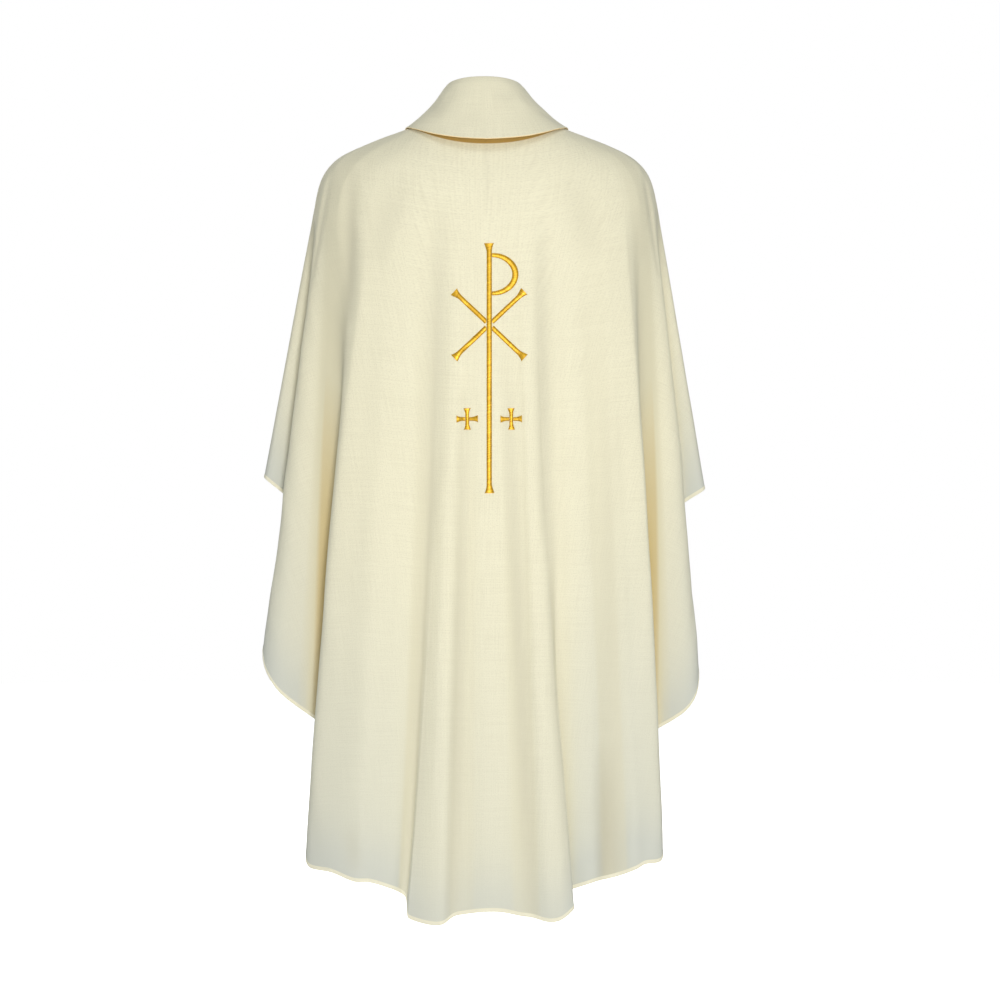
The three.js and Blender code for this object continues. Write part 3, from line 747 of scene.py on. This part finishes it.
def make_panel(name, node, first_line, last_line, creases, toward, material):
    """A panel's cloth between two lines, which replaces the solid called node."""
    grid = panel_grid(first_line, last_line)
    across, down, angle = flat_cut(grid)
    lengths = path_lengths(grid, 0)
    from_hem = lengths[-1:] - lengths
    share = lengths / lengths[-1:]
    normals = grid_normals(grid, False)
    arc = angle[None, :] * (NECK_RADIUS + lengths)
    settle = smooth_step((share - RIPPLE_START) / RIPPLE_RUN)
    rise = crease_rise(grid, creases, toward)
    # painted shade in the creases, by how deep their troughs are
    painted_crease_shade = np.maximum(-rise, 0)
    weights = [settle, settle, 1, np.exp(-from_hem / NEAR_HEM), np.exp(-from_hem / AT_HEM)]
    for ripple, weight in zip(PANEL_RIPPLES, weights):
        rise += weight * ripple_rise(ripple, arc, down)
    seam_rows = path_lengths(grid, 1)
    from_seam = np.minimum(seam_rows, seam_rows[:, -1:] - seam_rows)
    rise *= 1 - np.exp(-((from_seam / SEAM_CALM) ** 2))
    rise -= SEAM_DIP * np.exp(-((from_seam / SEAM_DIP_REACH) ** 2))
    grid = grid + rise[..., None] * normals
    normals = grid_normals(grid, False)
    tangents = unit(np.gradient(grid, axis=1))
    grid[:, 0] += tangents[:, 0] * SEAM_GAP / 2
    grid[:, -1] -= tangents[:, -1] * SEAM_GAP / 2
    half, band = hem_profile(from_hem)
    outer = grid + normals * half[..., None]
    inner = grid - normals * half[..., None]
    rows, columns = grid.shape[:2]
    # depth carries the painted shade in the folds, warm in the deepest; the inner face gets a painted
    # shade of its own
    depth = fold_shade(column_places(first_line, last_line), share)
    # painted shade towards the hem and the sides
    painted_low_shade = smooth_step((share - LOW_SHADE_START) / (1 - LOW_SHADE_START))
    painted_low_shade *= np.interp(grid[..., 0], LOW_SHADE_PLACES, LOW_SHADE_WEIGHTS)
    painted_low_shade += HEM_SHADE * np.exp(-((from_hem / HEM_SHADE_REACH) ** 2))
    inner_depth = np.maximum(INSIDE_GAIN * (1 - depth), INSIDE_DEPTH) * (1 - band * INSIDE_HEM)
    uv = np.stack([across, -down], axis=-1).reshape(-1, 2)
    piece = make_piece(
        name,
        np.concatenate([outer.reshape(-1, 3), inner.reshape(-1, 3)]),
        wall_faces(rows, columns, False),
        material,
        uv=np.concatenate([uv, uv]),
        values={
            "depth": np.concatenate([depth.ravel(), inner_depth.ravel()]),
            "hem": np.concatenate([band.ravel(), band.ravel()]),
            "painted_low_shade": np.concatenate([painted_low_shade.ravel(), painted_low_shade.ravel()]),
            "painted_crease_shade": np.concatenate([painted_crease_shade.ravel(), 0 * painted_crease_shade.ravel()]),
            "panel": np.ones(2 * painted_low_shade.size),
        },
    )
    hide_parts(node)
    return Panel(piece, normals, outer, from_hem)


def make_stitches(name, panel, material):
    """A row of machine stitches along the hem, lying on the outer face."""
    row = int(np.argmin(np.abs(panel.from_hem[:, 0] - STITCH_RISE)))
    line = panel.outer[row]
    normals = panel.normals[row]
    lengths = np.concatenate([[0], np.cumsum(np.linalg.norm(np.diff(line, axis=0), axis=1))])
    starts = np.arange(STITCH_MARGIN, lengths[-1] - STITCH_MARGIN, STITCH_SPACING)
    radii = STITCH_THICKNESS * STITCH_RADIUS
    sides = np.arange(STITCH_SIDES) * 2 * np.pi / STITCH_SIDES
    places = starts[:, None] + STITCH_SHARES[None, :] * STITCH_LENGTH

    def along(values):
        return np.stack([np.interp(places, lengths, values[:, k]) for k in range(3)], axis=-1)

    centre = along(line)
    normal = unit(along(normals))
    run = unit(np.gradient(centre, axis=1))
    beside = unit(np.cross(normal, run))
    centre = centre + normal * STITCH_LIFTS[None, :, None]
    ring = (
        centre[:, :, None]
        + normal[:, :, None] * (radii[None, :, None, None] * np.sin(sides)[None, None, :, None])
        + beside[:, :, None] * (radii[None, :, None, None] * np.cos(sides)[None, None, :, None])
    )
    count, rings, around = ring.shape[:3]
    index = np.arange(count * rings * around).reshape(count, rings, around)
    index = np.concatenate([index, index[:, :, :1]], axis=2)
    return make_piece(name, ring.reshape(-1, 3), grid_faces(index), material)


def make_collar(material):
    """The doubled cloth of the collar, which replaces its solid."""
    angles = np.arange(COLLAR_COLUMNS) * 360 / COLLAR_COLUMNS
    controls = np.array([section_points(section, angles) for section in COLLAR])
    rows = np.linspace(0, len(COLLAR) - 1, (len(COLLAR) - 1) * COLLAR_ROWS_PER_SECTION + 1)
    edge = len(COLLAR) - 1 - COLLAR_EDGE_ROWS
    rows = np.concatenate([rows[rows < edge[0] - COLLAR_ROW_GAP], edge])
    grid = spline(controls, np.tile(rows[:, None], (1, COLLAR_COLUMNS)), False)
    normals = grid_normals(grid, True)
    lengths = path_lengths(grid, 0)
    from_edge = lengths[-1:] - lengths
    outside = smooth_step((rows - OUTSIDE_START) / OUTSIDE_RUN)[:, None]
    arc = np.radians(angles)[None, :] * COLLAR_ARC_RADIUS
    rise = outside * crease_rise(grid, COLLAR_CREASES, -1)
    # painted shade in the collar's creases
    painted_crease_shade = np.maximum(-rise, 0) * COLLAR_TROUGH
    for ripple in COLLAR_RIPPLES:
        rise += outside * ripple_rise(ripple, arc, lengths)
    seam_angle = np.minimum(angles, 360 - angles)[None, :]
    rise -= outside * COLLAR_SEAM_DIP * np.exp(-((seam_angle / COLLAR_SEAM_WIDTH) ** 2))
    sideways = np.abs(np.sin(np.radians(angles)))[None, :] ** COLLAR_SETTLES_SIDES
    rise -= COLLAR_SETTLES * sideways * np.exp(-((from_edge / COLLAR_SETTLES_REACH) ** 2))
    grid = grid + rise[..., None] * normals
    normals = grid_normals(grid, True)
    bulge = np.exp(-(((from_edge - COLLAR_BULGE_RISE) / COLLAR_BULGE_REACH) ** 2))
    edge_round = np.sqrt(np.clip(1 - (1 - np.clip(from_edge / COLLAR_ROUND, 0, 1)) ** 2, 0, 1))
    half = (COLLAR_CLOTH / 2 + COLLAR_BULGE * bulge) * np.maximum(edge_round, THIN_EDGE)
    outer = grid + normals * half[..., None]
    inner = grid - normals * half[..., None]
    across = arc * np.ones_like(lengths)
    uv = np.stack([across, lengths], axis=-1).reshape(-1, 2)
    zero = np.zeros(grid.shape[:2])
    # painted warm glow on the collar's free edge and its inner face, where they lie in shade
    under_edge = np.exp(-((from_edge / UNDER_EDGE) ** 2))
    painted_collar_glow = smooth_step((rows - GLOW_START) / GLOW_RUN)[:, None] + zero
    piece = make_piece(
        "cowl_collar",
        np.concatenate([outer.reshape(-1, 3), inner.reshape(-1, 3)]),
        wall_faces(*zero.shape, True),
        material,
        uv=np.concatenate([uv, uv]),
        values={
            "depth": np.concatenate([zero.ravel(), zero.ravel()]),
            "painted_collar_glow": np.concatenate([under_edge.ravel(), painted_collar_glow.ravel()]),
            "painted_crease_shade": np.concatenate([painted_crease_shade.ravel(), zero.ravel()]),
            "hem": np.concatenate([zero.ravel(), zero.ravel()]),
            "painted_low_shade": np.concatenate([zero.ravel(), zero.ravel()]),
        },
    )
    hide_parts("collar")
    return piece


WELL_BEHIND = 1000


def surface_finder(panel):
    """A function that gives the points of the panel's outer face behind places across and up."""
    rows, columns = panel.outer.shape[:2]
    index = np.arange(rows * columns).reshape(rows, columns)
    tree = BVHTree.FromPolygons(panel.outer.reshape(-1, 3).tolist(), grid_faces(index).tolist())

    def find(x, z):
        return tree.ray_cast(Vector((x, -WELL_BEHIND, z)), Vector((0, 1, 0)))[0]

    return find


def satin_path(start, end):
    """A straight line's length, and a function that gives the place and heading along it."""
    start = np.array(start, dtype=float)
    run = np.array(end, dtype=float) - start
    length = np.hypot(*run)

    def place(distance):
        return start + run * distance / length, run / length

    return length, place


def bowl_path():
    """A half ellipse from the staff's edge, over to the right and back."""
    start_x = STAFF_WIDTH / 2 + SEAM_GAP
    middle = (BOWL_TOP + BOWL_BOTTOM) / 2
    rise = (BOWL_TOP - BOWL_BOTTOM) / 2
    turns = np.linspace(np.pi / 2, -np.pi / 2, BOWL_STEPS)
    points = np.stack([start_x + BOWL_REACH * np.cos(turns), middle + rise * np.sin(turns)], axis=1)
    lengths = np.concatenate([[0], np.cumsum(np.linalg.norm(np.diff(points, axis=0), axis=1))])
    headings = unit(np.gradient(points, axis=0))

    def place(distance):
        point = [np.interp(distance, lengths, points[:, k]) for k in range(2)]
        heading = [np.interp(distance, lengths, headings[:, k]) for k in range(2)]
        return np.array(point), unit(np.array(heading))

    return lengths[-1], place


def satin_column(name, node, path, width_at, start_flare, end_flare, find, material, mitre=None):
    """Threads laid side by side across a path. A mitre is the lowest and highest level that the
    starting edge has against the staff."""
    length, place = path
    threads = max(4, round(length / THREAD_PITCH))
    stops = np.linspace(0, length, 2 * threads + 1)
    sections = []
    shine = []
    thread_shine = random.uniform(DULLEST_THREAD, 1.0, threads + 1)
    dome = np.sqrt(np.clip(1 - (2 * SATIN_ACROSS) ** 2, 0, 1))
    for step, stop in enumerate(stops):
        centre, heading = place(stop)
        width = width_at(stop / length)
        width += start_flare.growth * max(0, 1 - stop / start_flare.length) ** 2
        width += end_flare.growth * max(0, 1 - (length - stop) / end_flare.length) ** 2
        right = np.array([heading[1], -heading[0]])
        slant_fade = min(1, stop / SLANT_FADE, (length - stop) / SLANT_FADE)
        relief = THREAD_RELIEF if step % 2 else 0
        points = []
        for share, height in zip(SATIN_ACROSS, dome):
            spot = centre + right * share * width
            spot = spot + heading * share * width * THREAD_SLANT * slant_fade
            if mitre is not None:
                if abs(spot[1]) < mitre[0]:
                    spot[1] = np.sign(spot[1] + centre[1] * TIE_BREAK) * mitre[0]
                if abs(spot[0]) < mitre[1]:
                    spot[0] = np.sign(centre[0]) * mitre[1]
            surface = find(CROSSING[0] + spot[0], CROSSING[1] + spot[1])
            lift = height * (SATIN_HEIGHT + relief) + relief * RELIEF_LIFT
            points.append((surface.x, surface.y - lift, surface.z))
        left_foot = points[0]
        right_foot = points[-1]
        points.append((right_foot[0], right_foot[1] + SATIN_SINK, right_foot[2]))
        points.append((left_foot[0], left_foot[1] + SATIN_SINK, left_foot[2]))
        sections.append(points)
        shine.append([thread_shine[step // 2]] * len(points))
    sections = np.array(sections)
    rows, sides = sections.shape[:2]
    index = np.arange(rows * sides).reshape(rows, sides)
    index = np.concatenate([index, index[:, :1]], axis=1)
    caps = []
    last = (rows - 1) * sides
    for low in range(sides // 2 - 1):
        high = sides - 1 - low
        caps.append([low, low + 1, high - 1, high])
        caps.append([last + high, last + high - 1, last + low + 1, last + low])
    faces = np.concatenate([grid_faces(index), np.array(caps)])
    piece = make_piece(
        name,
        sections.reshape(-1, 3),
        faces,
        material,
        values={"thread": np.array(shine).ravel()},
    )
    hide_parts(node)
    return piece


def make_emblem(find, material):
    staff = satin_path((0, STAFF_BOTTOM), (0, STAFF_TOP))
    satin_column(
        "satin_staff", "emblem_staff", staff, lambda share: STAFF_WIDTH,
        LARGE_FLARE, LARGE_FLARE, find, material,
    )
    satin_column(
        "satin_bowl", "emblem_bowl", bowl_path(),
        lambda share: BOWL_WIDTH + BOWL_SWELL * np.sin(np.pi * share),
        NO_FLARE, NO_FLARE, find, material,
    )
    start_x = STAFF_WIDTH / 2 + SEAM_GAP
    start_z = start_x * ARM_REACH[1] / ARM_REACH[0]
    for name, side_x, side_z in (
        ("upper_left", -1, 1), ("upper_right", 1, 1), ("lower_left", -1, -1), ("lower_right", 1, -1),
    ):
        arm = satin_path(
            (side_x * start_x, side_z * start_z), (side_x * ARM_REACH[0], side_z * ARM_REACH[1])
        )
        satin_column(
            f"satin_arm_{name}", f"emblem_arm_{name}", arm, lambda share: ARM_WIDTH,
            NO_FLARE, LARGE_FLARE, find, material, mitre=(SEAM_GAP / 2, start_x),
        )
    bar_start = CROSSLET_WIDTH / 2 + SEAM_GAP
    for side_name, side in (("left", -1), ("right", 1)):
        x = side * CROSSLET_CENTRE[0]
        z = CROSSLET_CENTRE[1]
        upright = satin_path((x, z - CROSSLET_REACH), (x, z + CROSSLET_REACH))
        satin_column(
            f"satin_crosslet_{side_name}_upright", f"crosslet_{side_name}_upright", upright,
            lambda share: CROSSLET_WIDTH, SMALL_FLARE, SMALL_FLARE, find, material,
        )
        for end, toward in (("left", -1), ("right", 1)):
            bar = satin_path((x + toward * bar_start, z), (x + toward * CROSSLET_REACH, z))
            satin_column(
                f"satin_crosslet_{side_name}_bar_{end}", f"crosslet_{side_name}_bar_{end}", bar,
                lambda share: CROSSLET_WIDTH, NO_FLARE, SMALL_FLARE, find, material,
            )


CAMERA_DISTANCE = 4.5  # metres, as for the other sizes of the view and the studio
VIEW_WIDTH = 1.65  # across the picture, at the garment
VIEW_CENTRE = (0.0231, -0.60885)  # across and up
SENSOR_WIDTH = 36  # millimetres


def make_camera():
    """A level view of the back."""
    camera = bpy.data.cameras.new("camera")
    camera.sensor_width = SENSOR_WIDTH
    camera.lens = SENSOR_WIDTH * CAMERA_DISTANCE / VIEW_WIDTH
    holder = bpy.data.objects.new("camera", camera)
    holder.location = (VIEW_CENTRE[0], -CAMERA_DISTANCE, VIEW_CENTRE[1])
    holder.rotation_euler = (np.pi / 2, 0, 0)
    bpy.context.collection.objects.link(holder)
    bpy.context.scene.camera = holder


# Area lights, with their power in watts
Lamp = namedtuple("Lamp", "name place target size power colour")
LAMPS = [
    Lamp("key", (0.38, -3.9, -0.42), (0, 0, -0.68), 0.9, 74, (1.0, 0.97, 0.91)),
    Lamp("top", (0, -1.2, 2.4), (0, 0, 0), 1.0, 14, (1.0, 0.98, 0.94)),
    Lamp("front_fill", (-1.2, 3.8, 0.6), (0, 0, -0.6), 1.2, 78, (1.0, 0.97, 0.92)),
]
ROOM_COLOUR = (0.90, 0.95, 0.94, 1)
ROOM_STRENGTH = 0.33
WHITE = (1, 1, 1, 1)
FLOOR_Z = -1.5
FLOOR_RADIUS = 9
FLOOR_SIDES = 96
FLOOR_TONES = ((0.93, 0.93, 0.92, 1), (0.96, 0.96, 0.95, 1))
FLOOR_CLOUDS = 3.0
FLOOR_LIFT = 1.0  # how much the floor is brightened, as the view sees it, towards the white around


def make_lamp(lamp):
    light = bpy.data.lights.new(lamp.name, "AREA")
    light.shape = "DISK"
    light.size = lamp.size
    light.energy = lamp.power
    light.color = lamp.colour
    holder = bpy.data.objects.new(lamp.name, light)
    holder.location = lamp.place
    direction = Vector(lamp.target) - Vector(lamp.place)
    holder.rotation_euler = direction.to_track_quat("-Z", "Y").to_euler()
    bpy.context.collection.objects.link(holder)


def make_studio():
    for lamp in LAMPS:
        make_lamp(lamp)
    world = bpy.data.worlds.new("studio")
    world.use_nodes = True
    nodes = world.node_tree.nodes
    links = world.node_tree.links
    soft = nodes["Background"]
    soft.inputs["Color"].default_value = ROOM_COLOUR
    soft.inputs["Strength"].default_value = ROOM_STRENGTH
    white = nodes.new("ShaderNodeBackground")
    white.inputs["Color"].default_value = WHITE
    seen = nodes.new("ShaderNodeLightPath")
    choose = nodes.new("ShaderNodeMixShader")
    links.new(seen.outputs["Is Camera Ray"], choose.inputs[0])
    links.new(soft.outputs[0], choose.inputs[1])
    links.new(white.outputs[0], choose.inputs[2])
    links.new(choose.outputs[0], nodes["World Output"].inputs["Surface"])
    bpy.context.scene.world = world
    bpy.ops.mesh.primitive_circle_add(
        vertices=FLOOR_SIDES, radius=FLOOR_RADIUS, fill_type="NGON", location=(0, 0, FLOOR_Z)
    )
    floor = bpy.context.object
    floor.name = "floor"
    g = Graph("pale_floor")
    place = g.add("ShaderNodeTexCoord").outputs["Object"]
    tone = g.mix(g.noise(place, FLOOR_CLOUDS), *FLOOR_TONES)
    g.set(Base_Color=tone, Roughness=0.7, Specular_IOR_Level=0.1, Emission_Color=WHITE)
    seen = g.add("ShaderNodeLightPath").outputs["Is Camera Ray"]
    g.set(Emission_Strength=g.math("MULTIPLY", seen, FLOOR_LIFT))
    floor.data.materials.append(g.material)
    bpy.context.scene.view_settings.view_transform = "Standard"
    bpy.context.scene.view_settings.look = "None"


make_camera()
make_studio()
cloth = cloth_material()
gold = gold_material()
sewing_thread = stitch_material()

# The right seam is at the middle of the back's last fold, and the left one goes round to its first
RIGHT_SEAM = 2 * (len(BACK_FOLDS) - 1) + 0.5
LEFT_SEAM = 2 * len(FOLDS) + 0.5
back = make_panel("back_cloth", "back_panel", 0.5, RIGHT_SEAM, BACK_CREASES, -1, cloth)
front = make_panel("front_cloth", "front_panel", RIGHT_SEAM, LEFT_SEAM, FRONT_CREASES, 1, cloth)
back_stitches = make_stitches("back_hem_stitches", back, sewing_thread)
front_stitches = make_stitches("front_hem_stitches", front, sewing_thread)
collar = make_collar(cloth)
make_emblem(surface_finder(back), gold)
